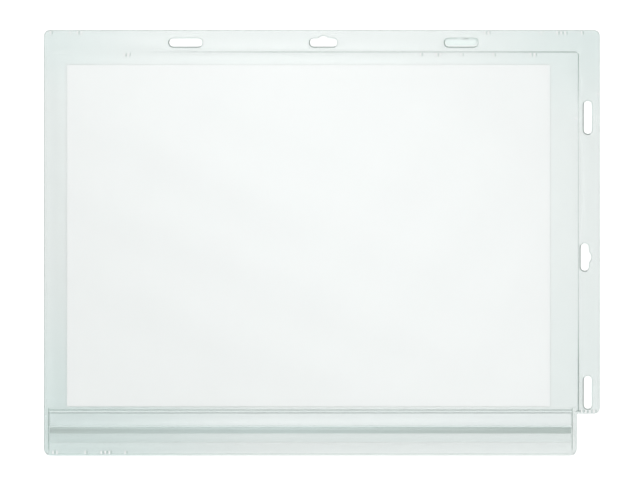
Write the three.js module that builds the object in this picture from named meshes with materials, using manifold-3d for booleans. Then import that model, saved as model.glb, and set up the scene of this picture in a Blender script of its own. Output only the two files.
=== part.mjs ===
// Waterproof document pocket for one A4 sheet, landscape, lying on its back.
// Two clear soft PVC films of one die-cut outline are welded round the edge. The pocket opens along
// its lower edge, where a press-to-close zip lies between the films. A border with punched hanging
// slots runs along the top and the right side, so the pocket hangs either way up.
// Millimetres. X runs along the long side, Y towards the top border and Z out of the front.
// Inside the pocket group, x and y count from the lower left corner of the outline, and z from the
// back face.

import * as THREE from "three";
import { mergeVertices } from "three/addons/utils/BufferGeometryUtils.js";
import Module from "manifold-3d";

const wasm = await Module();
wasm.setup();

// Driving dimensions

const paper = { length: 297, width: 210, thickness: 0.1 };

const film = {
  thickness: 0.3,
  cornerRadius: 3.5, // upper corners and the end of the side border
  lipCornerRadius: 4.5, // the two corners at the opening
  notchRadius: 0.8, // inner corner, where the side border ends
  rampWidth: 1.3, // where the front film comes down onto a weld
};

// Free room round the paper inside the pocket
const room = { left: 11.5, right: 16.4, above: 6.8, below: 2.2, overPaper: 0.3 };

const weld = {
  edgeMargin: 0.9, // from the cut edge to the line that the welding tool presses in
  lineWidth: 1.2,
  lineDepth: 0.15,
  innerMargin: 0.4, // from the pressed line to the pocket's free room
  foldRadius: 2, // corner of the pressed line between the pocket and its borders
  endRise: 2, // above the zip the right weld narrows to the fold over this height
};

// The hanging borders, counted outwards from the fold line
const border = {
  topSlots: 5.8, // from the fold line to the slots' centre line
  topEdge: 7.6, // from there to the cut edge
  sideSlots: 5.8,
  sideEdge: 7.3,
  sideMiddleShift: 1.9, // the side's middle slot sits nearer the fold
  endBelowClosure: 2.2, // the side border ends this far below the closure's upper end
};

const slot = { length: 20.5, width: 5.2 };
const humpSlot = { length: 17, width: 5.2, humpWidth: 6.4, humpRise: 1.5 };

const slotPlace = {
  topFirst: 87.1, // first slot's centre from the left edge
  topLast: 85.1, // last slot's centre from the right edge
  sideFirst: 53.6, // upper slot's centre below the top edge
  sideLast: 13, // lower slot's centre above the end of the border
  sideMiddleDrop: 1.35, // the middle one sits this far below halfway
};

// The last slot on the top border keeps the back film's punched slug, held by one nick
const slug = { endGap: 0.6, upperGap: 0.35, lowerGap: 0.95, nickWidth: 1.4, nickShift: -1.4 };

// The closure, counted up from the lower edge
const closure = {
  lipHeight: 8.6, // finger lips below the zip's tapes
  lipGap: 0.5, // between the two lips
  lipStep: 1.1, // where the front film rises from the lip to the tapes
  lipSetback: 0.9, // the front lip is cut shorter than the back one
  lowerTape: 7.3, // from the lips to the zip's centre line
  upperTape: 10.5, // from there to the step
  stepWidth: 1.8, // where the front film comes down to the paper
};

const zip = {
  tapeThickness: 0.4,
  tapeGap: 0.2, // air between the two tapes
  tapeInset: 0.2, // each tape ends just short of the film's step
  headRise: 0.9, // how far the groove's head stands above its tape
  headRound: 0.45,
  roofThickness: 0.35,
  jawWall: 0.9,
  jawLift: 0.1, // air under the jaws
  jawChamfer: 0.1,
  hookHeight: 0.3,
  cavityRound: 0.35,
  stemWidth: 0.7,
  arrowWidth: 1.6,
  arrowTip: 0.4,
  barbEdge: 0.12,
  play: 0.15, // between the arrow and the groove, all round
  ridgeFlank: 1.05, // each sloping flank of the film over the head
};

// Places that follow from the driving dimensions

const sideWeld = weld.edgeMargin + weld.lineWidth + weld.innerMargin;
const foldMargin = weld.innerMargin + weld.lineWidth / 2;

const paperX = sideWeld + room.left;
const pocketRight = paperX + paper.length + room.right;
const foldX = pocketRight + foldMargin;
const totalWidth = foldX + border.sideSlots + border.sideEdge;
const openingLeft = sideWeld;
const openingRight = pocketRight - sideWeld;

const zipY = closure.lipHeight + closure.lowerTape;
const stepLow = zipY + closure.upperTape;
const closureHeight = stepLow + closure.stepWidth;
const notchY = closureHeight - border.endBelowClosure;
const endWeldTop = notchY + sideWeld;
const paperY = closureHeight + room.below;
const pocketTop = paperY + paper.width + room.above;
const foldY = pocketTop + foldMargin;
const totalHeight = foldY + border.topSlots + border.topEdge;

const backTop = film.thickness;
const tapeStack = 2 * zip.tapeThickness + zip.tapeGap;
const headTop = tapeStack + zip.headRise;
const paperClear = paper.thickness + room.overPaper;

// Half widths of the groove's mouth, its cavity and its head, and heights above the back film
const mouth = zip.stemWidth / 2 + zip.play;
const cavity = zip.arrowWidth / 2 + zip.play;
const head = cavity + zip.jawWall;
const jawFoot = zip.tapeThickness + zip.jawLift;
const hookTop = jawFoot + zip.hookHeight;
const roof = headTop - zip.roofThickness;

const curveSteps = 6;
const rampSteps = 4;

// Solids: meshes to and from manifold-3d, which only cuts and joins here

function solid(geometry) {
  const bare = geometry.clone();
  bare.deleteAttribute("normal");
  bare.deleteAttribute("uv");
  const merged = mergeVertices(bare, 1e-4);
  return new wasm.Manifold(
    new wasm.Mesh({
      numProp: 3,
      vertProperties: new Float32Array(merged.attributes.position.array),
      triVerts: new Uint32Array(merged.index.array),
    }),
  );
}

function geometryOf(body) {
  const mesh = body.getMesh();
  const geometry = new THREE.BufferGeometry();
  geometry.setAttribute("position", new THREE.BufferAttribute(mesh.vertProperties, 3));
  geometry.setIndex(new THREE.BufferAttribute(mesh.triVerts, 1));
  const flat = geometry.toNonIndexed();
  flat.computeVertexNormals();
  return flat;
}

function extruded(shape, depth) {
  return new THREE.ExtrudeGeometry(shape, { depth, bevelEnabled: false, curveSegments: curveSteps });
}

function plate(shape, fromZ, toZ) {
  return extruded(shape, toZ - fromZ).translate(0, 0, fromZ);
}

// Outlines

// A closed outline through right-angled corners [x, y, radius], anticlockwise, moved inwards by inset
function roundedOutline(corners, inset = 0) {
  const shape = new THREE.Shape();
  corners.forEach(([x, y, radius], i) => {
    const [beforeX, beforeY] = corners[(i + corners.length - 1) % corners.length];
    const [afterX, afterY] = corners[(i + 1) % corners.length];
    const into = new THREE.Vector2(x - beforeX, y - beforeY).normalize();
    const out = new THREE.Vector2(afterX - x, afterY - y).normalize();
    const convex = into.cross(out) > 0;
    const r = radius + (convex ? -inset : inset);
    const startX = x - inset * (into.y + out.y) - r * into.x;
    const startY = y + inset * (into.x + out.x) - r * into.y;
    const from = Math.atan2(-out.y, -out.x);
    const turn = convex ? Math.PI / 2 : -Math.PI / 2;
    if (i === 0) shape.moveTo(startX, startY);
    else shape.lineTo(startX, startY);
    shape.absarc(startX + r * out.x, startY + r * out.y, r, from, from + turn, !convex);
  });
  shape.closePath();
  return shape;
}

const filmCorners = [
  [0, 0, film.lipCornerRadius],
  [pocketRight, 0, film.lipCornerRadius],
  [pocketRight, notchY, film.notchRadius],
  [totalWidth, notchY, film.cornerRadius],
  [totalWidth, totalHeight, film.cornerRadius],
  [0, totalHeight, film.cornerRadius],
];

// A slot's outline round the origin, lying along X. A hump, if it has one, rises towards +Y.
function slotPath({ length, width, humpWidth = 0, humpRise = 0 }) {
  const r = width / 2;
  const a = length / 2 - r;
  const path = new THREE.Path();
  path.moveTo(-a, -r);
  path.lineTo(a, -r);
  path.absarc(a, 0, r, -Math.PI / 2, Math.PI / 2, false);
  if (humpRise > 0) {
    const half = humpWidth / 2;
    const humpRadius = (half * half + humpRise * humpRise) / (2 * humpRise);
    const start = Math.atan2(humpRadius - humpRise, half);
    path.absarc(0, r + humpRise - humpRadius, humpRadius, start, Math.PI - start, false);
  }
  path.lineTo(-a, r);
  path.absarc(-a, 0, r, Math.PI / 2, 1.5 * Math.PI, false);
  path.closePath();
  return path;
}

// The cut round a slug that still hangs by its nick: the slot's outline, then the slug's own
function slugCutPath({ length, width }) {
  const r = width / 2;
  const a = length / 2 - r;
  const s = (width - slug.upperGap - slug.lowerGap) / 2;
  const lift = (slug.lowerGap - slug.upperGap) / 2;
  const b = length / 2 - slug.endGap - s;
  const nickLeft = slug.nickShift - slug.nickWidth / 2;
  const nickRight = slug.nickShift + slug.nickWidth / 2;
  const path = new THREE.Path();
  path.moveTo(nickRight, r);
  path.lineTo(a, r);
  path.absarc(a, 0, r, Math.PI / 2, -Math.PI / 2, true);
  path.lineTo(-a, -r);
  path.absarc(-a, 0, r, -Math.PI / 2, -1.5 * Math.PI, true);
  path.lineTo(nickLeft, r);
  path.lineTo(nickLeft, lift + s);
  path.lineTo(-b, lift + s);
  path.absarc(-b, lift, s, Math.PI / 2, 1.5 * Math.PI, false);
  path.lineTo(b, lift - s);
  path.absarc(b, lift, s, -Math.PI / 2, Math.PI / 2, false);
  path.lineTo(nickRight, lift + s);
  path.closePath();
  return path;
}

// Moves a slot's outline to its place, turned to run along Y where it stands upright
function placed(path, x, y, upright) {
  const points = path.getPoints(curveSteps).map((p) => {
    return upright ? new THREE.Vector2(x + p.y, y - p.x) : new THREE.Vector2(x + p.x, y + p.y);
  });
  return new THREE.Path(points);
}

function filmOutline(keepsSlug) {
  const topY = foldY + border.topSlots;
  const firstX = slotPlace.topFirst;
  const lastX = totalWidth - slotPlace.topLast;
  const sideX = foldX + border.sideSlots;
  const upperY = totalHeight - slotPlace.sideFirst;
  const lowerY = notchY + slotPlace.sideLast;
  const middleY = (upperY + lowerY) / 2 - slotPlace.sideMiddleDrop;
  const shape = roundedOutline(filmCorners);
  shape.holes.push(
    placed(slotPath(slot), firstX, topY, false),
    placed(slotPath(humpSlot), (firstX + lastX) / 2, topY, false),
    placed(keepsSlug ? slugCutPath(slot) : slotPath(slot), lastX, topY, false),
    placed(slotPath(slot), sideX, upperY, true),
    placed(slotPath(humpSlot), sideX - border.sideMiddleShift, middleY, true),
    placed(slotPath(slot), sideX, lowerY, true),
  );
  return shape;
}

// Front film: a sheet laid over the paper and the zip, and held down along its welds

const smooth = (t) => {
  const c = Math.min(Math.max(t, 0), 1);
  return c * c * (3 - 2 * c);
};

// Stations that follow a smooth ramp from one place to another
function ramp(from, to) {
  return Array.from({ length: rampSteps + 1 }, (_, i) => from + ((to - from) * i) / rampSteps);
}

// Each rise of the film's underside going up from the lower edge: [start, end, change in height]
const rises = [
  [closure.lipHeight - closure.lipStep, closure.lipHeight, tapeStack - closure.lipGap],
  [zipY - head - zip.ridgeFlank, zipY - head, zip.headRise],
  [zipY + head, zipY + head + zip.ridgeFlank, -zip.headRise],
  [stepLow, closureHeight, paperClear - tapeStack],
  [pocketTop - film.rampWidth, pocketTop, -paperClear],
];

function underside(y) {
  return rises.reduce((height, [from, to, change]) => {
    return height + change * smooth((y - from) / (to - from));
  }, closure.lipGap);
}

// The free room's right-hand end
function rightEnd(y) {
  const share = smooth((y - endWeldTop) / weld.endRise);
  return openingRight + (pocketRight - openingRight) * share;
}

function frontSheet() {
  const over = 1;
  const run = film.rampWidth;
  const rows = [
    -over,
    ...rises.flatMap(([from, to]) => ramp(from, to)),
    ...ramp(endWeldTop, endWeldTop + weld.endRise),
    totalHeight + over,
  ].sort((p, q) => p - q);
  const acrossAt = (y) => {
    const end = rightEnd(y);
    return [-over, ...ramp(openingLeft, openingLeft + run), ...ramp(end - run, end), totalWidth + over];
  };
  const columns = acrossAt(0).length;
  const position = [];
  for (const lift of [0, film.thickness]) {
    for (const y of rows) {
      for (const x of acrossAt(y)) {
        const free = smooth(Math.min(x - openingLeft, rightEnd(y) - x) / run);
        position.push(x, y, backTop + lift + underside(y) * free);
      }
    }
  }
  const layer = rows.length * columns;
  const index = [];
  const quad = (a, b, c, d) => index.push(a, b, c, a, c, d);
  for (let j = 0; j + 1 < rows.length; j += 1) {
    for (let i = 0; i + 1 < columns; i += 1) {
      const a = j * columns + i;
      const b = a + 1;
      const c = b + columns;
      const d = a + columns;
      quad(layer + a, layer + b, layer + c, layer + d);
      quad(a, d, c, b);
    }
  }
  const wall = (a, b) => quad(a, b, layer + b, layer + a);
  const lastRow = layer - columns;
  for (let i = 0; i + 1 < columns; i += 1) {
    wall(i, i + 1);
    wall(lastRow + i + 1, lastRow + i);
  }
  for (let j = 0; j + 1 < rows.length; j += 1) {
    wall((j + 1) * columns, j * columns);
    wall((j + 1) * columns - 1, (j + 2) * columns - 1);
  }
  const geometry = new THREE.BufferGeometry();
  geometry.setAttribute("position", new THREE.Float32BufferAttribute(position, 3));
  geometry.setIndex(index);
  return geometry;
}

// The lines that the welding tool presses into the front film: one inside the cut edge, open along
// the lips, and one along the fold between the pocket and its two borders
function pressedLines() {
  const far = totalWidth;
  const low = backTop + film.thickness - weld.lineDepth;
  const high = low + film.thickness;
  const half = weld.lineWidth / 2;
  const ring = (corners, outer, inner) => {
    const band = roundedOutline(corners, outer);
    band.holes.push(roundedOutline(corners, inner));
    return solid(plate(band, low, high));
  };
  const block = (x0, y0, x1, y1) => {
    const box = new THREE.BoxGeometry(x1 - x0, y1 - y0, 4 * high);
    return solid(box.translate((x0 + x1) / 2, (y0 + y1) / 2, low));
  };
  const edgeLine = ring(filmCorners, weld.edgeMargin, weld.edgeMargin + weld.lineWidth);
  const foldCorners = [
    [-far, -far, weld.foldRadius],
    [foldX, -far, weld.foldRadius],
    [foldX, foldY, weld.foldRadius],
    [-far, foldY, weld.foldRadius],
  ];
  const foldLine = ring(foldCorners, -half, half);
  const opening = block(openingLeft, -far, openingRight, closure.lipHeight);
  const pastLeft = block(-2 * far, -2 * far, weld.edgeMargin + half, 2 * far);
  const pastNotch = block(0, -2 * far, 2 * far, notchY + weld.edgeMargin + half);
  return edgeLine.subtract(opening).add(foldLine.subtract(pastLeft).subtract(pastNotch));
}

function frontFilm() {
  const tall = 2 * (backTop + headTop + film.thickness);
  const dieCut = solid(plate(filmOutline(false), 0, tall));
  const setback = new THREE.BoxGeometry(openingRight - openingLeft, 2 * closure.lipSetback, tall);
  setback.translate((openingLeft + openingRight) / 2, 0, tall / 2);
  const trimmed = solid(frontSheet()).intersect(dieCut).subtract(solid(setback));
  return geometryOf(trimmed.subtract(pressedLines()));
}

// Zip: the arrow-shaped rib on the back film snaps into the two-jawed groove on the front film.
// Sections are drawn with Y across the zip from its centre line and Z up from the back film.

const tapeLow = zip.tapeInset - closure.lowerTape;
const tapeHigh = closure.upperTape - zip.tapeInset;

function ribSection() {
  const thick = zip.tapeThickness;
  const stem = zip.stemWidth / 2;
  const barb = zip.arrowWidth / 2;
  const tip = zip.arrowTip / 2;
  const shoulder = hookTop + zip.play;
  const section = new THREE.Shape();
  section.moveTo(tapeLow, 0);
  section.lineTo(tapeHigh, 0);
  section.lineTo(tapeHigh, thick / 2);
  section.lineTo(tapeHigh - thick, thick);
  section.lineTo(stem, thick);
  section.lineTo(stem, shoulder);
  section.lineTo(barb, shoulder);
  section.lineTo(barb, shoulder + zip.barbEdge);
  section.lineTo(tip, roof - zip.play);
  section.lineTo(-tip, roof - zip.play);
  section.lineTo(-barb, shoulder + zip.barbEdge);
  section.lineTo(-barb, shoulder);
  section.lineTo(-stem, shoulder);
  section.lineTo(-stem, thick);
  section.lineTo(tapeLow + thick, thick);
  section.lineTo(tapeLow, thick / 2);
  section.closePath();
  return section;
}

function grooveSection() {
  const thick = zip.tapeThickness;
  const low = tapeStack - thick;
  const chamfer = zip.jawChamfer;
  const round = zip.cavityRound;
  const section = new THREE.Shape();
  section.moveTo(tapeLow, low + thick / 2);
  section.lineTo(tapeLow + thick, low);
  section.lineTo(-head, low);
  section.lineTo(-head + chamfer, jawFoot);
  section.lineTo(-mouth - chamfer, jawFoot);
  section.lineTo(-mouth, jawFoot + chamfer);
  section.lineTo(-mouth, hookTop);
  section.lineTo(-cavity, hookTop);
  section.lineTo(-cavity, roof - round);
  section.quadraticCurveTo(-cavity, roof, -cavity + round, roof);
  section.lineTo(cavity - round, roof);
  section.quadraticCurveTo(cavity, roof, cavity, roof - round);
  section.lineTo(cavity, hookTop);
  section.lineTo(mouth, hookTop);
  section.lineTo(mouth, jawFoot + chamfer);
  section.lineTo(mouth + chamfer, jawFoot);
  section.lineTo(head - chamfer, jawFoot);
  section.lineTo(head, low);
  section.lineTo(tapeHigh - thick, low);
  section.lineTo(tapeHigh, low + thick / 2);
  section.lineTo(tapeHigh, tapeStack);
  section.lineTo(head, tapeStack);
  section.lineTo(head, headTop - zip.headRound);
  section.quadraticCurveTo(head, headTop, head - zip.headRound, headTop);
  section.lineTo(-head + zip.headRound, headTop);
  section.quadraticCurveTo(-head, headTop, -head, headTop - zip.headRound);
  section.lineTo(-head, tapeStack);
  section.lineTo(tapeLow, tapeStack);
  section.closePath();
  return section;
}

// A strip of the zip: its section, drawn in Y and Z, runs along X between the two end welds
function zipStrip(section) {
  const from = openingLeft + film.rampWidth;
  const to = openingRight - film.rampWidth;
  const turn = new THREE.Matrix4().makeBasis(
    new THREE.Vector3(0, 1, 0),
    new THREE.Vector3(0, 0, 1),
    new THREE.Vector3(1, 0, 0),
  );
  return extruded(section, to - from).applyMatrix4(turn).translate(from, 0, 0);
}

// Materials

const clearFilm = new THREE.MeshStandardMaterial({
  color: 0xdcebe6,
  roughness: 0.12,
  metalness: 0,
  transparent: true,
  opacity: 0.35,
});
const clearZip = new THREE.MeshStandardMaterial({
  color: 0xb4c8c3,
  roughness: 0.18,
  metalness: 0,
  transparent: true,
  opacity: 0.6,
});
const whitePaper = new THREE.MeshStandardMaterial({
  color: 0xf7faf9,
  roughness: 0.85,
  metalness: 0,
});

// The pocket

function piece(name, geometry, material, x = 0, y = 0, z = 0) {
  const mesh = new THREE.Mesh(geometry, material);
  mesh.name = name;
  mesh.position.set(x, y, z);
  return mesh;
}

const sheet = new THREE.BoxGeometry(paper.length, paper.width, paper.thickness);
sheet.translate(paper.length / 2, paper.width / 2, paper.thickness / 2);

const pocket = new THREE.Group();
pocket.name = "document_pocket";
pocket.position.set(-totalWidth / 2, -totalHeight / 2, 0);
pocket.add(
  piece("back_film", plate(filmOutline(true), 0, film.thickness), clearFilm),
  piece("front_film", frontFilm(), clearFilm),
  piece("zip_rib_strip", zipStrip(ribSection()), clearZip, 0, zipY, backTop),
  piece("zip_groove_strip", zipStrip(grooveSection()), clearZip, 0, zipY, backTop),
  piece("paper_insert", sheet, whitePaper, paperX, paperY, backTop),
);

const part = new THREE.Group();
part.add(pocket);

export default part;
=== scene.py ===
import bpy
import bmesh
import math
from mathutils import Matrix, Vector


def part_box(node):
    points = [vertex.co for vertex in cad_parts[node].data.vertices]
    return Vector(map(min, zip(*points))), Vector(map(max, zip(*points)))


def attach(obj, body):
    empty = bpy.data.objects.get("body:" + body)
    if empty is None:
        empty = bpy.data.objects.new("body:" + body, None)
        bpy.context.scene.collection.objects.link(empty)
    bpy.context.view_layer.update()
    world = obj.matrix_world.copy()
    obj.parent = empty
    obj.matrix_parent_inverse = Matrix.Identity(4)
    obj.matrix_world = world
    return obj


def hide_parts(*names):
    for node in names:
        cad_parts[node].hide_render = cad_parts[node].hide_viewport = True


# Clear waterproof document pocket on a pale floor, seen from straight above.
# Lengths are in millimetres, and places are counted from the outline's lower left corner, unless a
# note says otherwise. Times mm, they are metres.

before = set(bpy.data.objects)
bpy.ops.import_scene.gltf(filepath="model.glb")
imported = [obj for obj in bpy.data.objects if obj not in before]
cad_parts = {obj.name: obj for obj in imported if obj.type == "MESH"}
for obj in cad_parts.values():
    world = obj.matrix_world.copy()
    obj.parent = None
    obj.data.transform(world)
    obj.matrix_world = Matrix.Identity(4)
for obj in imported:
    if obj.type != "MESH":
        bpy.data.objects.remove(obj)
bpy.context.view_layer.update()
mm = 0.001
tiny, slack = 1e-6, 1e-5  # metres: places this near are one, and heights this near are level
endless = 100.0  # metres, for a patch that reaches through every height
pocketLow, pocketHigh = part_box("back_film")
paperLow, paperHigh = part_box("paper_insert")
print("frame loaded")


# Small helpers

def hexColour(code):  # sRGB hex to linear RGBA
    parts = [int(code[i:i + 2], 16) / 255 for i in (0, 2, 4)]
    return tuple(c / 12.92 if c < 0.04045 else ((c + 0.055) / 1.055) ** 2.4 for c in parts) + (1.0,)


def addNode(tree, kind, inputs=None, **settings):
    # inputs: a socket's name or number, with its value or the socket to link to it. The two colours of
    # a Mix node are its sockets 6 and 7.
    node = tree.nodes.new(kind)
    for name, value in settings.items():
        setattr(node, name, value)
    for name, value in (inputs or {}).items():
        if isinstance(value, bpy.types.NodeSocket):
            tree.links.new(value, node.inputs[name])
        else:
            node.inputs[name].default_value = value
    return node


def newMaterial(name):
    material = bpy.data.materials.new(name)
    material.use_nodes = True
    material.node_tree.nodes.clear()
    return material, material.node_tree


def newPiece(name, bm, *materials):
    mesh = bpy.data.meshes.new(name)
    bm.to_mesh(mesh)
    bm.free()
    for material in materials:
        mesh.materials.append(material)
    piece = bpy.data.objects.new(name, mesh)
    bpy.context.scene.collection.objects.link(piece)
    return piece


def smoothByAngle(bm, degrees):  # smooth faces, with sharp edges past the angle
    for face in bm.faces:
        face.smooth = True
    for edge in bm.edges:
        edge.smooth = len(edge.link_faces) == 2 and edge.calc_face_angle(0) < math.radians(degrees)


def patches(tree, towards, spots, total=0.0):  # soft round patches, each added to the total
    for middle, reach, turn, strength in spots:
        place = addNode(tree, "ShaderNodeMapping",
                        {"Vector": towards, "Location": middle + (0,), "Scale": reach + (endless,),
                         "Rotation": (0, 0, math.radians(turn))}, vector_type="TEXTURE")
        ball = addNode(tree, "ShaderNodeTexGradient", {"Vector": place.outputs[0]},
                       gradient_type="SPHERICAL")
        share = addNode(tree, "ShaderNodeMapRange", {"Value": ball.outputs["Fac"], "To Max": strength},
                        interpolation_type="SMOOTHSTEP")
        added = addNode(tree, "ShaderNodeMath", {0: total, 1: share.outputs[0]}, operation="ADD")
        total = added.outputs[0]
    return total


# Materials

# Plasticised PVC, calendered into film: clear with a faint green cast and a soft wide shine. Light
# crosses four film faces down to the floor and four up again, and the white floor then shows in the
# colour "white". Each face mirrors 4% of the light at right angles and far more at a glance, and has a
# trace of milkiness.
filmLook = {
    "white": "eaf1ef",
    "paintedShade": "c9e4e0",  # and in this one where painted shade darkens the corners
    "shadeSpots": (  # painted shade spots: middle and reach in metres, from the outline's middle, turn, and share of the shade colour
        ((-0.171, -0.131), (0.15, 0.13), 0.0, 0.95),
        ((0.171, 0.131), (0.11, 0.07), 0.0, 0.6),
        ((-0.171, 0.131), (0.08, 0.05), 0.0, 0.55),
        ((0.171, -0.075), (0.1, 0.075), 0.0, 0.18),
    ),
    "milk": "dfeae6",
    "milkShare": 0.012,
    "mirror": 0.04,
    "glancePower": 5.0,  # how late towards a glance the mirrored light grows, as for any clear plastic
    "roughness": 0.15,
    "waveScale": 22.0,  # one wave about every 45 mm
    "waveDetail": 2.0,
    "waveHeight": 0.25,
}


def faceTint(code, faces=8):  # what one face lets through, when that many of them make the colour
    return tuple(c ** (1 / faces) for c in hexColour(code)[:3]) + (1.0,)


def clearPvc(name, tint, milkShare=filmLook["milkShare"], milk=filmLook["milk"],
             mirror=filmLook["mirror"]):
    # tint, milkShare and milk are each a value, or a function that adds the nodes for it
    material, tree = newMaterial(name)
    place = addNode(tree, "ShaderNodeTexCoord").outputs["Object"]
    wave = addNode(tree, "ShaderNodeTexNoise",
                   {"Vector": place, "Scale": filmLook["waveScale"], "Detail": filmLook["waveDetail"]})
    relief = addNode(tree, "ShaderNodeBump",
                     {"Height": wave.outputs["Fac"], "Strength": 1.0,
                      "Distance": filmLook["waveHeight"] * mm})
    edgeOn = addNode(tree, "ShaderNodeLayerWeight", {"Blend": 0.5, "Normal": relief.outputs["Normal"]})
    glance = addNode(tree, "ShaderNodeMath", {0: edgeOn.outputs["Facing"], 1: filmLook["glancePower"]},
                     operation="POWER")
    mirrored = addNode(tree, "ShaderNodeMath", {0: glance.outputs[0], 1: 1 - mirror, 2: mirror},
                       operation="MULTIPLY_ADD")
    through = addNode(tree, "ShaderNodeBsdfTransparent",
                      {"Color": tint(tree, place) if callable(tint) else tint})
    cloudy = addNode(tree, "ShaderNodeBsdfDiffuse",
                     {"Color": milk(tree, place) if callable(milk) else hexColour(milk)})
    body = addNode(tree, "ShaderNodeMixShader",
                   {0: milkShare(tree, place) if callable(milkShare) else milkShare,
                    1: through.outputs[0], 2: cloudy.outputs[0]})
    shine = addNode(tree, "ShaderNodeBsdfGlossy",
                    {"Color": hexColour("ffffff"), "Roughness": filmLook["roughness"],
                     "Normal": relief.outputs["Normal"]})
    whole = addNode(tree, "ShaderNodeMixShader",
                    {0: mirrored.outputs[0], 1: body.outputs[0], 2: shine.outputs[0]})
    addNode(tree, "ShaderNodeOutputMaterial", {"Surface": whole.outputs[0]})
    return material


def backTintWithShade(tree, place):
    # the share of painted shade towards the corners, most at the lower left
    thick = patches(tree, place, filmLook["shadeSpots"])
    return addNode(tree, "ShaderNodeMix", {0: thick, 6: faceTint(filmLook["white"]),
                                           7: faceTint(filmLook["paintedShade"])}, data_type="RGBA").outputs[2]


# The fold line is pressed between the pocket and its borders. Its grey is painted shade, darkest at its
# far ends, and it runs out on the left. Places are counted from the outline's middle.
foldLook = {
    "faint": "f6f9f8",
    "dark": "8b9a95",
    "middleY": 20.0,  # from here it darkens upwards and downwards,
    "reachY": 95.0,   # and is darkest this far away
    "rise": 2.6,  # the higher, the more suddenly
    "least": 0.3,
    "startX": (-136.0, -125.0),
    "fadeX": (-120.0, -30.0),  # along here it grows to fadeShare,
    "fadeShare": 0.42,
    "rightX": (100.0, 150.0),  # and along here to rightShare
    "rightShare": 0.85,
}


def foldShadeTint(tree, place):
    spot = addNode(tree, "ShaderNodeSeparateXYZ", {0: place})
    above = addNode(tree, "ShaderNodeMath", {0: spot.outputs["Y"], 1: foldLook["middleY"] * mm},
                    operation="SUBTRACT")
    away = addNode(tree, "ShaderNodeMath", {0: above.outputs[0]}, operation="ABSOLUTE")
    part = addNode(tree, "ShaderNodeMath", {0: away.outputs[0], 1: foldLook["reachY"] * mm},
                   operation="DIVIDE")
    steep = addNode(tree, "ShaderNodeMath", {0: part.outputs[0], 1: foldLook["rise"]},
                    operation="POWER", use_clamp=True)
    # share of painted shade along the fold, most at its far ends
    paintedShade = addNode(tree, "ShaderNodeMath", {0: steep.outputs[0], 1: foldLook["least"]},
                   operation="MAXIMUM")
    start, fade, right = (
        {"Value": spot.outputs["X"], "From Min": foldLook[key][0] * mm, "From Max": foldLook[key][1] * mm}
        for key in ("startX", "fadeX", "rightX"))
    faded = addNode(tree, "ShaderNodeMapRange", {**fade, "To Max": foldLook["fadeShare"]})
    across = addNode(tree, "ShaderNodeMapRange",
                     {**right, "To Min": faded.outputs[0], "To Max": foldLook["rightShare"]})
    share = addNode(tree, "ShaderNodeMath", {0: paintedShade.outputs[0], 1: across.outputs[0]},
                    operation="MULTIPLY")
    there = addNode(tree, "ShaderNodeMapRange", start)
    tone = addNode(tree, "ShaderNodeMix", {0: share.outputs[0], 6: faceTint(foldLook["faint"], 2),
                                           7: faceTint(foldLook["dark"], 2)}, data_type="RGBA")
    return addNode(tree, "ShaderNodeMix", {0: there.outputs[0], 6: faceTint(filmLook["white"]),
                                           7: tone.outputs[2]}, data_type="RGBA").outputs[2]


# Colours in which the white floor shows through cut edges, lines and prints of the same film. Light
# crosses each of them once down and once up, and both faces of the slug. A milk share is how much of
# the light a whitened face scatters back.
edgeLook = {
    "slug": "e0ebe8",
    "faint": "dde4e2",
    "grey": "d0d5d3",
    "dark": "687771",
    "lip": "bcc8c4",
    "line": "b0bfba",
    "end": "b7c5bf",
    "printDark": "d6dedb",
    "litMilk": "effaf7",
    "litShare": 0.01,
    "slopeHighlight": "ecf8f5",
    "slopeHighlightShare": 0.5,
    "printMilk": "ffffff",
    "printShare": 0.95,
}
filmMaterials = {
    # flat film: the floor shows through, faintly green
    "clear": clearPvc("calendered clear PVC film", faceTint(filmLook["white"])),
    # the back film, with painted shade that makes it darker and greener towards its corners
    "back": clearPvc("calendered clear PVC film, painted shade at the corners", backTintWithShade),
    # one loose layer in the last slot: paler than the two welded ones round it
    "slug": clearPvc("punched slug of PVC film", faceTint(edgeLook["slug"], 4)),
    # edges cut by the die lead light away sideways, so they show as lines: pale towards the light, grey
    # across it, near black where a punched slot shades them
    "faint": clearPvc("die-cut PVC edge turned to the light", faceTint(edgeLook["faint"], 2)),
    "grey": clearPvc("die-cut PVC edge", faceTint(edgeLook["grey"], 2)),
    "dark": clearPvc("punched PVC edge in shade", faceTint(edgeLook["dark"], 2)),
    "lip": clearPvc("die-cut PVC lip edge", faceTint(edgeLook["lip"], 2)),
    # side of a line pressed into warm film, turned to the light: a thin clear line beside the dark one
    "lit": clearPvc("side of a pressed line in PVC, lit", hexColour("ffffff"), edgeLook["litShare"],
                    edgeLook["litMilk"]),
    # film over the zip's head: a painted highlight on its upper slope, a pale line along the zip
    "slope": clearPvc("PVC film over the zip's head, painted highlight", faceTint(filmLook["white"]),
                      edgeLook["slopeHighlightShare"], edgeLook["slopeHighlight"]),
    # floor of the pressed fold line: painted shade, a grey line round the pocket
    "fold": clearPvc("pressed fold line in PVC, painted shade", foldShadeTint),
    # raised lines round the closure bend the light away: soft grey lines, painted as shade on their upper
    # sides
    "line": clearPvc("upper side of a raised line in PVC, painted shade", faceTint(edgeLook["line"], 2)),
    "end": clearPvc("raised end of the closure in PVC", faceTint(edgeLook["end"], 2)),
    # prints of the welding tool's teeth: film whitened by stress, and glassy film between, as fine
    # light and dark strokes
    "printWhite": clearPvc("stress-whitened weld print in PVC", hexColour("ffffff"),
                           edgeLook["printShare"], edgeLook["printMilk"]),
    "printDark": clearPvc("glassy weld print in PVC", faceTint(edgeLook["printDark"], 2)),
}
filmIndex = {name: i for i, name in enumerate(filmMaterials)}

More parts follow.
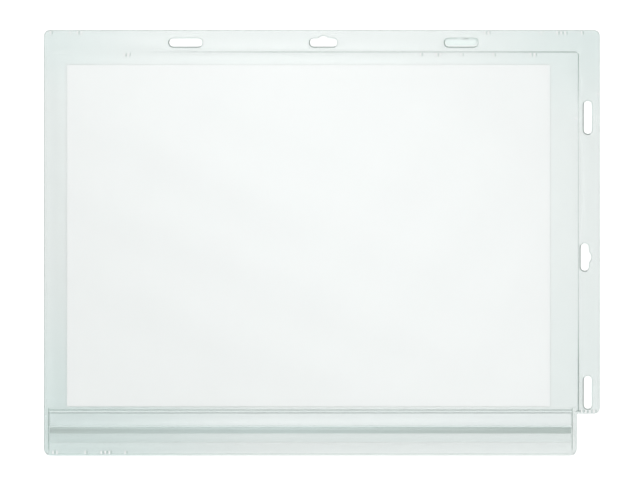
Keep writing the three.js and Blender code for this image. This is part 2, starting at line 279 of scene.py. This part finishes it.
# Soft PVC extruded as the zip's profile: cloudy in the tapes, and a dull grey-green band where the jaws
# and the rib make it thick.
zipLook = {
    "tape": "fcffff",
    "tapeShade": "e8f3f2",  # painted shade on the tapes towards the lower left corner, as on the films
    "headShadowTone": "f6f8f7",  # painted shadow of the head: the tapes are a little darker below it
    "tapeShare": 0.88,
    "head": "c4d0cc",
    "headHighlight": "d5e2e0",
    "highlightSpots": (((-0.045, -0.115), (0.19, 0.2), 0.0, 1.0),),  # as the films' shade spots: a painted highlight where the head is paler
    "headShare": 0.8,
    "headHalf": 1.85,
    "headBlur": 0.15,
    "headY": 15.9,
    "mirror": 0.05,
}


def zipThick(tree, place):  # 1 on the jaws and the rib, 0 on the tapes
    y = addNode(tree, "ShaderNodeSeparateXYZ", {0: place}).outputs["Y"]
    above = addNode(tree, "ShaderNodeMath", {0: y, 1: pocketLow.y + zipLook["headY"] * mm},
                    operation="SUBTRACT")
    away = addNode(tree, "ShaderNodeMath", {0: above.outputs[0]}, operation="ABSOLUTE")
    return addNode(tree, "ShaderNodeMapRange",
                   {"Value": away.outputs[0], "From Min": zipLook["headHalf"] * mm,
                    "From Max": (zipLook["headHalf"] + zipLook["headBlur"]) * mm,
                    "To Min": 1.0, "To Max": 0.0}).outputs[0]


def zipShare(tree, place):
    return addNode(tree, "ShaderNodeMapRange",
                   {"Value": zipThick(tree, place), "To Min": zipLook["tapeShare"],
                    "To Max": zipLook["headShare"]}).outputs[0]


def zipMilk(tree, place):
    # painted shade on the tapes towards the lower left corner
    tape = addNode(tree, "ShaderNodeMix",
                   {0: patches(tree, place, filmLook["shadeSpots"][:1]), 6: hexColour(zipLook["tape"]),
                    7: hexColour(zipLook["tapeShade"])}, data_type="RGBA")
    y = addNode(tree, "ShaderNodeSeparateXYZ", {0: place}).outputs["Y"]
    below = addNode(tree, "ShaderNodeMath", {0: y, 1: pocketLow.y + zipLook["headY"] * mm},
                    operation="LESS_THAN")
    # painted shadow of the head on the tape below it
    shaded = addNode(tree, "ShaderNodeMix",
                     {0: below.outputs[0], 6: tape.outputs[2], 7: hexColour(zipLook["headShadowTone"])},
                     data_type="RGBA", blend_type="MULTIPLY")
    # painted highlight: the head is paler in one wide patch
    head = addNode(tree, "ShaderNodeMix",
                   {0: patches(tree, place, zipLook["highlightSpots"]), 6: hexColour(zipLook["head"]),
                    7: hexColour(zipLook["headHighlight"])}, data_type="RGBA")
    return addNode(tree, "ShaderNodeMix", {0: zipThick(tree, place), 6: shaded.outputs[2],
                                           7: head.outputs[2]}, data_type="RGBA").outputs[2]


zipClear = clearPvc("extruded soft PVC zip profile", faceTint(filmLook["white"], 2), milkShare=zipShare,
                    milk=zipMilk, mirror=zipLook["mirror"])

# Uncoated office paper: bright, matt, with a faint cloudy tone from its fibres.
paperLook = {
    "cloud": "fafafa",
    "clear": "fefdfd",
    "cloudScale": 400.0,  # a cloud every 2.5 mm, as long as a wood fibre
    "cloudDetail": 4.0,
    "grain": 0.03,
    "grainStrength": 0.3,
    "roughness": 0.9,
    "ior": 1.45,
    "specular": 0.3,
}


def officePaper():
    material, tree = newMaterial("uncoated office paper")
    place = addNode(tree, "ShaderNodeTexCoord")
    cloud = addNode(tree, "ShaderNodeTexNoise",
                    {"Vector": place.outputs["Object"], "Scale": paperLook["cloudScale"],
                     "Detail": paperLook["cloudDetail"]})
    tone = addNode(tree, "ShaderNodeMix",
                   {0: cloud.outputs["Fac"], 6: hexColour(paperLook["cloud"]),
                    7: hexColour(paperLook["clear"])}, data_type="RGBA")
    relief = addNode(tree, "ShaderNodeBump",
                     {"Height": cloud.outputs["Fac"], "Strength": paperLook["grainStrength"],
                      "Distance": paperLook["grain"] * mm})
    sheet = addNode(tree, "ShaderNodeBsdfPrincipled",
                    {"Base Color": tone.outputs[2], "Roughness": paperLook["roughness"],
                     "IOR": paperLook["ior"], "Specular IOR Level": paperLook["specular"],
                     "Normal": relief.outputs["Normal"]})
    addNode(tree, "ShaderNodeOutputMaterial", {"Surface": sheet.outputs[0]})
    return material


paperWhite = officePaper()
print("materials made")

# Films: the die-cut solids, with drafted press marks and rounded cut edges, in a grid that can ripple

films = {
    "thick": 0.3,
    "hair": 0.01,  # keeps faces that touch from lying in one plane
    "cell": 9.0,
    "flatWithin": 0.2,  # degrees, within which the solid's triangles are one face
    "sharp": 35,  # degrees, past which an edge isn't shaded smooth
    "upper": 0.21,  # cut walls are taller than this, and the back film's top lies above it
    "edgeRound": 0.13,
    "edgeLean": 0.5,
    "lipReach": 1.6,  # the front lip's cut edge lies this near the pocket's lower edge
    "burr": 0.28,  # how far the foot of a punched edge reaches into its slot
    "burrFrom": 20.0,
    "burrTo": 3.0,  # short of the right edge
    "pressTop": 0.6,
    "pressDepth": 0.15,
    "pressSlack": 0.03,  # the floor of a pressed line is found within this
    "draft": 0.3,  # how far the foot of a pressed line's side stands in
    "cornerDraft": 1.1,  # and how much further round the fold line's corner
    "cornerReach": 2.0,
    "foldAt": (328.4, 248.2),
    "foldBand": (-1.054, 0.62),  # the fold line's width, inwards and outwards
    "slugAt": (256.4, 254.0),
    "slugReach": (10.4, 2.75),
    "slotRowX": (329.05, 338.5),  # the punched slots stand in a row between these,
    "slotRowY": (249.5, 258.5),
    "slotRowStart": 28.3,
    "slotRowGap": 20.0,  # and the rows end this far before the fold line's corner
    "lineWidth": 0.55,
    "lineHeight": 0.12,
    "closureEnds": (2.9, 324.5),
    "closureFootHead": (4.0, 29.6),
    "closureLines": (8.75, 26.35, 28.25),
    "zipTop": 1.2,  # the front film stands higher than this only over the zip
}
# Prints of the welding tool's teeth, white and dark in turn. A row is: its direction (0 along X, 1
# along Y), where it starts, how many teeth, and its middle across.
teeth = {
    "pitch": 1.25,
    "size": (0.7, 2.1),
    "height": 0.05,
    "flatShare": 0.85,  # of a tooth's length: from here its ends slope down
    "crestShare": 0.9,  # and within this a point on its middle belongs to the crest
    "rows": (
        (0, 3.9, 2, 259.8), (0, 16.0, 1, 259.8), (0, 20.4, 3, 259.8), (0, 270.6, 4, 259.8),
        (0, 305.4, 1, 259.8), (0, 315.2, 6, 259.8), (0, 330.2, 2, 259.8), (0, 49.3, 4, 246.4),
        (0, 231.2, 2, 246.4), (0, 241.0, 3, 246.4), (0, 256.3, 2, 246.4), (0, 276.0, 2, 246.4),
        (0, 298.8, 4, 246.4), (0, 5.6, 3, 2.2), (0, 25.3, 2, 2.2), (0, 35.2, 6, 2.2), (0, 49.9, 2, 2.2),
        (0, 330.4, 8, 27.4), (1, 222.4, 1, 340.2), (1, 207.6, 1, 326.6),
    ),
}
# The front film rises and falls freely over the sheet, in two slow waves that cross.
ripples = {
    "height": 0.25,
    "swing": 0.6,  # the waves' share of it
    "lift": 0.4,  # and the steady share
    "waves": (83.0, 61.0),
    "slants": (0.35, -0.2),  # how far each wave leans off the X and the Y axis
    "shift": 1.1,  # of the second wave, in radians
    "margins": (8.0, 3.0),  # how far outside the sheet, in x and y, the film starts to rise
    "rise": 30.0,  # and over how far
}


def smoothStep(t):
    t = min(max(t, 0.0), 1.0)
    return t * t * (3 - 2 * t)


def rippleAt(x, y):  # nothing near the welds and the zip
    inX = min(x - paperLow.x, paperHigh.x - x) + ripples["margins"][0] * mm
    inY = min(y - paperLow.y, paperHigh.y - y) + ripples["margins"][1] * mm
    share = smoothStep(inX / (ripples["rise"] * mm)) * smoothStep(inY / (ripples["rise"] * mm))
    (longWave, crossWave), (slantX, slantY) = ripples["waves"], ripples["slants"]
    a = math.sin(2 * math.pi * (x + slantX * y) / (longWave * mm))
    b = math.sin(2 * math.pi * (y + slantY * x) / (crossWave * mm) + ripples["shift"])
    return ripples["height"] * mm * (ripples["swing"] * a * b + ripples["lift"]) * share


def cutAt(bm, axis, value):
    normal = Vector((1, 0, 0)) if axis == 0 else Vector((0, 1, 0))
    bmesh.ops.bisect_plane(bm, geom=bm.verts[:] + bm.edges[:] + bm.faces[:], dist=tiny / 10,
                           plane_co=normal * value, plane_no=normal)


# How far a face's normal points along an axis, which tells what the face is
facing = {
    "wall": 0.1,  # z below this: a wall
    "leaning": 0.92,  # z below this: a wall, or one that leans
    "up": 0.1,  # z above this: it looks up at all
    "top": 0.3,  # part of the film's top
    "rim": 0.98,  # flat enough to meet a wall in a rim
    "flat": 0.99,
    "slope": (0.2, 0.97),  # z of the slopes over the zip's head
    "slopeUp": 0.2,  # and y of the upper one
    "sideways": 0.3,
    "straight": 0.5,
    "shaded": 0.3,  # a slot's wall is dark above this, towards the upper right,
    "pale": -0.6,  # and pale below this, towards the lower left
}


def upright(face, most=facing["wall"]):
    return abs(face.normal.z) < most


def onLip(face):  # the cut edge of the front lip, set back from the back lip
    return (face.normal.y < -facing["sideways"] and upright(face, facing["leaning"])
            and face.calc_center_median().y < pocketLow.y + films["lipReach"] * mm)


def outwards(face):
    return Vector((face.normal.x, face.normal.y, 0))


def moveOut(moves, distance):  # moves: vertex -> the directions of the walls that it belongs to
    for vert, normals in moves.items():
        step = distance(vert) if callable(distance) else distance
        vert.co += sum(normals, Vector()).normalized() * step


def leanCutEdges(bm):  # the die drags the front film down, so its cut edges lean back from the air
    top, foot = films["pressTop"] * mm, films["thick"] * mm
    moves = {}
    for face in bm.faces:
        heights = [v.co.z for v in face.verts]
        flat = min(heights) < foot + slack and abs(max(heights) - top) < slack
        if upright(face) and (flat or onLip(face)):
            for vert in face.verts:
                if vert.co.z > max(heights) - slack:
                    moves.setdefault(vert, []).append(outwards(face))
    moveOut(moves, -films["edgeLean"] * mm)


def openSides(bm):  # lean the sides of the pressed lines outwards, so that they show from above
    top, foot = films["pressTop"] * mm, (films["pressTop"] - films["pressDepth"]) * mm
    corner = Vector((pocketLow.x + films["foldAt"][0] * mm, pocketLow.y + films["foldAt"][1] * mm))

    def draft(vert):  # the line is cut wider round its corner
        near = max(0.0, 1 - (vert.co.xy - corner).length / (films["cornerReach"] * mm))
        return (1 + films["cornerDraft"] * near) * films["draft"] * mm

    moves = {}
    for face in bm.faces:
        heights = [v.co.z for v in face.verts]
        if upright(face) and min(heights) > foot - slack and max(heights) < top + slack:
            for vert in face.verts:
                if vert.co.z < foot + slack:
                    moves.setdefault(vert, []).append(outwards(face))
    moveOut(moves, draft)


def roundEdges(bm):  # the rims of the cut walls, along the outline and round the slots
    rims = []
    for edge in bm.edges:
        faces = list(edge.link_faces)
        if len(faces) != 2:
            continue
        for side, flat in (faces, faces[::-1]):
            height = max(v.co.z for v in side.verts) - min(v.co.z for v in side.verts)
            if height > films["upper"] * mm and upright(side) and abs(flat.normal.z) > facing["rim"]:
                rims.append(edge)
    bmesh.ops.bevel(bm, geom=rims, offset=films["edgeRound"] * mm, segments=1, affect="EDGES",
                    profile=0.5)


def dragBurrs(bm):  # the punch drags the foot of each slot's wall into the slot
    moves = {}
    for face in bm.faces:
        c = face.calc_center_median()
        if (upright(face) and bySlot(c)
                and pocketLow.x + films["burrFrom"] * mm < c.x < pocketHigh.x - films["burrTo"] * mm):
            for vert in face.verts:
                if vert.co.z < films["thick"] / 2 * mm:
                    moves[vert] = outwards(face)
    for vert, towards in moves.items():
        vert.co += towards * films["burr"] * mm


def raisedLine(bm, axis, at, low, high):  # a narrow ridge across the top faces, from low to high
    half = films["lineWidth"] / 2 * mm
    for value in (at - half, at, at + half):
        cutAt(bm, axis, value)
    bm.normal_update()
    crest = {v for f in bm.faces if f.normal.z > facing["top"] for v in f.verts
             if abs(v.co[axis] - at) < tiny and low - tiny < v.co[1 - axis] < high + tiny}
    for vert in crest:
        vert.co.z += films["lineHeight"] * mm
    return lambda c: abs(c[axis] - at) < half and low < c[1 - axis] < high  # whether a place is on it


def printTeeth(bm):  # small ridges across the welds, cut into the top faces
    half, reach = (side / 2 * mm for side in teeth["size"])
    flat = teeth["flatShare"]
    for axis, start, count, across in teeth["rows"]:
        middles = [pocketLow[axis] + (start + i * teeth["pitch"]) * mm for i in range(count)]
        centre = pocketLow[1 - axis] + across * mm
        span = ((axis, middles[0] - half, middles[-1] + half), (1 - axis, centre - reach, centre + reach))
        near = [f for f in bm.faces if f.normal.z > facing["top"] and all(
            min(v.co[a] for v in f.verts) < high and max(v.co[a] for v in f.verts) > low
            for a, low, high in span)]
        cuts = [(axis, m + side) for m in middles for side in (-half, 0, half)]
        cuts += [(1 - axis, centre + share * reach) for share in (-1, -flat, flat, 1)]
        parts = near + list({e for f in near for e in f.edges}) + list({v for f in near for v in f.verts})
        for a, value in cuts:
            normal = Vector((1 - a, a, 0))
            parts = bmesh.ops.bisect_plane(bm, geom=parts, dist=tiny / 10, plane_co=normal * value,
                                           plane_no=normal)["geom"]
        for part in parts:
            if isinstance(part, bmesh.types.BMVert):
                onCrest = min(abs(part.co[axis] - m) for m in middles) < tiny
                if onCrest and abs(part.co[1 - axis] - centre) < teeth["crestShare"] * reach:
                    part.co.z += teeth["height"] * mm
            elif isinstance(part, bmesh.types.BMFace):
                c = part.calc_center_median()
                for i, m in enumerate(middles):
                    if abs(c[axis] - m) < half and abs(c[1 - axis] - centre) < reach:
                        part.material_index = filmIndex["printDark" if i % 2 else "printWhite"]


def bySlot(c):  # within the rows of punched slots
    x, y = (c.x - pocketLow.x) / mm, (c.y - pocketLow.y) / mm
    endX, endY = (fold - films["slotRowGap"] for fold in films["foldAt"])
    return (films["slotRowY"][0] < y < films["slotRowY"][1] and x < endX
            or films["slotRowX"][0] < x < films["slotRowX"][1] and films["slotRowStart"] < y < endY)


def cutEdgeKind(c, n):  # a cut edge's tone, by the way that it faces
    if bySlot(c):
        turn = (n.x + n.y) / max(math.hypot(n.x, n.y), tiny)
        return "dark" if turn > facing["shaded"] else "grey" if turn > facing["pale"] else "faint"
    return "faint" if n.x > facing["straight"] or n.y < -facing["straight"] else "grey"


def backKind(face):
    c = face.calc_center_median()
    if upright(face, facing["leaning"]):
        return cutEdgeKind(c, face.normal)
    inSlug = all(abs((c[axis] - pocketLow[axis]) / mm - films["slugAt"][axis]) < films["slugReach"][axis]
                 for axis in (0, 1))
    return "slug" if inSlug else "back"


def frontKind(face, lines, ends):
    c, n = face.calc_center_median(), face.normal
    lowest, looksUp = min(v.co.z for v in face.verts), n.z > facing["up"]
    top, floor = films["pressTop"] * mm, (films["pressTop"] - films["pressDepth"]) * mm
    if onLip(face):
        return "lip"
    if looksUp and c.z < top - tiny and lowest > floor - films["pressSlack"] * mm:  # a pressed line
        pastFold = max((c[axis] - pocketLow[axis]) / mm - films["foldAt"][axis] for axis in (0, 1))
        onFold = films["foldBand"][0] < pastFold < films["foldBand"][1]
        if n.z > facing["flat"]:
            return "fold" if onFold else "clear"
        return "lit" if onFold or n.x > facing["sideways"] or n.y < -facing["sideways"] else "clear"
    if looksUp and any(end(c) for end in ends):
        return "end"
    if looksUp and any(line(c) for line in lines):
        belowZip = c.y < pocketLow.y + zipLook["headY"] * mm
        # painted light by facing: a raised line's lower side is lit, and above the zip its upper side is
        # painted shade
        return "lit" if n.y < 0 else "clear" if belowZip else "line"
    overHead = c.z > films["zipTop"] * mm and facing["slope"][0] < n.z < facing["slope"][1]
    # the upper slope over the zip's head carries the painted highlight
    if overHead and n.y > facing["slopeUp"]:
        return "slope"
    if upright(face, facing["leaning"]) and c.z < top + films["hair"] * mm:
        return cutEdgeKind(c, n)
    return "clear"


def flatFilm(cadName):  # the die-cut solid, its triangles joined into whole faces
    bm = bmesh.new()
    bm.from_mesh(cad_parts[cadName].data)
    bmesh.ops.remove_doubles(bm, verts=bm.verts, dist=tiny)
    bmesh.ops.dissolve_limit(bm, angle_limit=math.radians(films["flatWithin"]), verts=bm.verts,
                              edges=bm.edges)
    bm.normal_update()
    return bm


def cutGrid(bm):
    for axis in (0, 1):
        low, high = pocketLow[axis], pocketHigh[axis]
        count = round((high - low) / (films["cell"] * mm))
        for i in range(1, count):
            cutAt(bm, axis, low + (high - low) * i / count)


def filmPiece(name, cadName, bm):
    bm.normal_update()
    smoothByAngle(bm, films["sharp"])
    piece = newPiece(name, bm, *filmMaterials.values())
    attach(piece, "root")
    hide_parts(cadName)
    print(name, "made,", len(piece.data.polygons), "faces")


def makeBackSheet():
    bm = flatFilm("back_film")
    roundEdges(bm)
    bm.normal_update()
    dragBurrs(bm)
    cutGrid(bm)
    for axis, (middle, reach) in enumerate(zip(films["slugAt"], films["slugReach"])):
        for place in (middle - reach, middle + reach):
            cutAt(bm, axis, pocketLow[axis] + place * mm)
    bm.normal_update()
    for face in bm.faces:
        face.material_index = filmIndex[backKind(face)]
    for vert in bm.verts:
        if vert.co.z > films["upper"] * mm:  # its top, a hair under the front film's welds
            vert.co.z -= films["hair"] * mm
    filmPiece("back_sheet", "back_film", bm)


def makeFrontSheet():
    bm = flatFilm("front_film")
    openSides(bm)
    leanCutEdges(bm)
    bm.normal_update()
    cutGrid(bm)
    left, right = (pocketLow.x + x * mm for x in films["closureEnds"])
    foot, head = (pocketLow.y + y * mm for y in films["closureFootHead"])
    for axis, value in ((0, left), (0, right), (1, foot), (1, head)):
        cutAt(bm, axis, value)
    lines = [raisedLine(bm, 1, pocketLow.y + y * mm, left, right) for y in films["closureLines"]]
    ends = [raisedLine(bm, 0, x, foot, head) for x in (left, right)]
    bm.normal_update()
    for face in bm.faces:
        face.material_index = filmIndex[frontKind(face, lines, ends)]
    for vert in bm.verts:
        underside = any(f.normal.z < -facing["straight"] for f in vert.link_faces)
        vert.co.z += rippleAt(vert.co.x, vert.co.y) + (films["hair"] * mm if underside else 0)
    printTeeth(bm)
    filmPiece("front_sheet", "front_film", bm)


makeBackSheet()
makeFrontSheet()

# Zip and sheet keep their solids

keptNodes = {"zip_groove_strip": zipClear, "zip_rib_strip": zipClear, "paper_insert": paperWhite}
for nodeName, look in keptNodes.items():
    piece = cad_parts[nodeName]
    if not piece.material_slots:
        piece.data.materials.append(None)
    for slot in piece.material_slots:
        slot.link = "OBJECT"
        slot.material = look
print("zip and sheet dressed")

# Stage: pale floor, even studio light, camera straight above

studio = {
    "floorColour": "f6f6f6",
    "floorLift": 0.18,  # what brings the floor up to white in the camera's eye
    "floorHalf": 4000.0,
    "floorDrop": 0.05,
    "surround": 1.08,  # the sky's strength away from its patches
    "patches": (  # brighter and darker parts of the sky: middle, reach, turn in degrees and strength
        ((0.0, 0.0), (0.55, 0.55), 0.0, -1.0),
        ((0.0, 0.09), (0.42, 0.25), -57.0, 1.95),
    ),
    "cameraHeight": 929.0,
    "lens": 85.0,
    "sensor": 36.0,
    "aimAt": (-1.15, 1.85),  # the photo's centre, from the middle of the outline
}


def makeFloor():
    bm = bmesh.new()
    bmesh.ops.create_grid(bm, x_segments=1, y_segments=1, size=studio["floorHalf"] * mm)
    bmesh.ops.translate(bm, verts=bm.verts, vec=(0, 0, -studio["floorDrop"] * mm))
    material, tree = newMaterial("pale studio floor")
    path = addNode(tree, "ShaderNodeLightPath")
    seen = addNode(tree, "ShaderNodeMath",
                   {0: path.outputs["Is Camera Ray"], 1: path.outputs["Is Glossy Ray"]},
                   operation="MAXIMUM")
    seenToo = addNode(tree, "ShaderNodeMath",
                      {0: seen.outputs[0], 1: path.outputs["Is Transmission Ray"]}, operation="MAXIMUM")
    lift = addNode(tree, "ShaderNodeMath", {0: seenToo.outputs[0], 1: studio["floorLift"]},
                   operation="MULTIPLY")
    base = addNode(tree, "ShaderNodeBsdfDiffuse", {"Color": hexColour(studio["floorColour"])})
    glow = addNode(tree, "ShaderNodeEmission",
                   {"Color": hexColour("ffffff"), "Strength": lift.outputs[0]})
    both = addNode(tree, "ShaderNodeAddShader", {0: base.outputs[0], 1: glow.outputs[0]})
    addNode(tree, "ShaderNodeOutputMaterial", {"Surface": both.outputs[0]})
    newPiece("floor", bm, material)


def makeLight():
    world = bpy.data.worlds.new("studio")
    bpy.context.scene.world = world
    world.use_nodes = True
    tree = world.node_tree
    tree.nodes.clear()
    towards = addNode(tree, "ShaderNodeTexCoord").outputs["Generated"]
    total = patches(tree, towards, studio["patches"], studio["surround"])
    path = addNode(tree, "ShaderNodeLightPath")
    light = addNode(tree, "ShaderNodeBackground", {"Color": hexColour("ffffff"), "Strength": total})
    white = addNode(tree, "ShaderNodeBackground", {"Color": hexColour("ffffff"), "Strength": 1.0})
    mix = addNode(tree, "ShaderNodeMixShader",
                  {0: path.outputs["Is Camera Ray"], 1: light.outputs[0], 2: white.outputs[0]})
    addNode(tree, "ShaderNodeOutputWorld", {"Surface": mix.outputs[0]})


def makeCamera():
    data = bpy.data.cameras.new("camera")
    data.lens = studio["lens"]
    data.sensor_width = studio["sensor"]
    camera = bpy.data.objects.new("camera", data)
    camera.location = [value * mm for value in (*studio["aimAt"], studio["cameraHeight"])]
    bpy.context.scene.collection.objects.link(camera)
    bpy.context.scene.camera = camera


makeFloor()
makeLight()
makeCamera()
bpy.context.scene.view_settings.view_transform = "Standard"
print("stage made")
